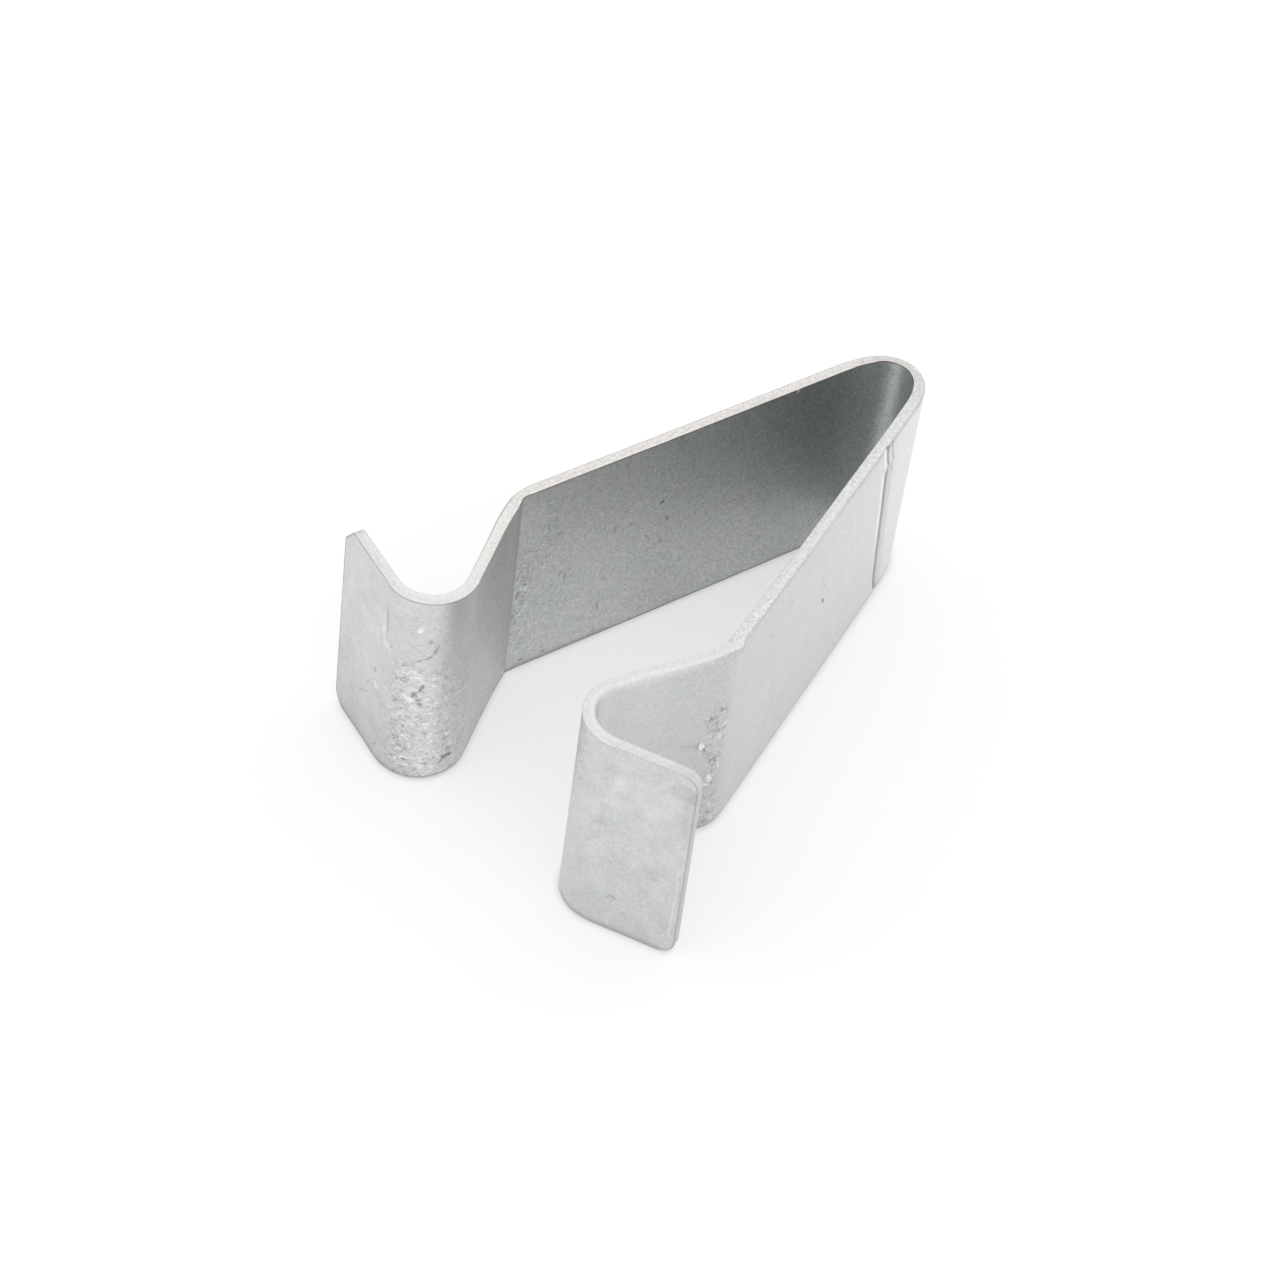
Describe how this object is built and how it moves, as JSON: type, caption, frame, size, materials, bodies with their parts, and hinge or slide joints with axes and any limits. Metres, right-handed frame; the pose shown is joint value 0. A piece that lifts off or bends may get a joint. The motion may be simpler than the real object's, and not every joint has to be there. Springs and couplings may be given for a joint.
{
  "type": "trim panel spring clip",
  "caption": "V-shaped spring clip of folded zinc-coated steel strip: a nose that snaps into a slot, pinched necks that grip a rib, and flared lips.",
  "frame": {"origin": "middle of the footprint, on the plane of the cut edge that the clip stands on", "axes": "+X from the lips towards the folded nose, along the clip's centre line; +Y from the centre line towards the arm without the tool line; +Z across the strip's width, up as the clip stands"},
  "size_m": [0.0248, 0.0182, 0.01],
  "materials": {
    "zinc_coated_steel": "satin zinc coat, light grey, faintly speckled"
  },
  "bodies": {
    "root": {"spring_clip": "zinc_coated_steel"}
  },
  "joints": []
}
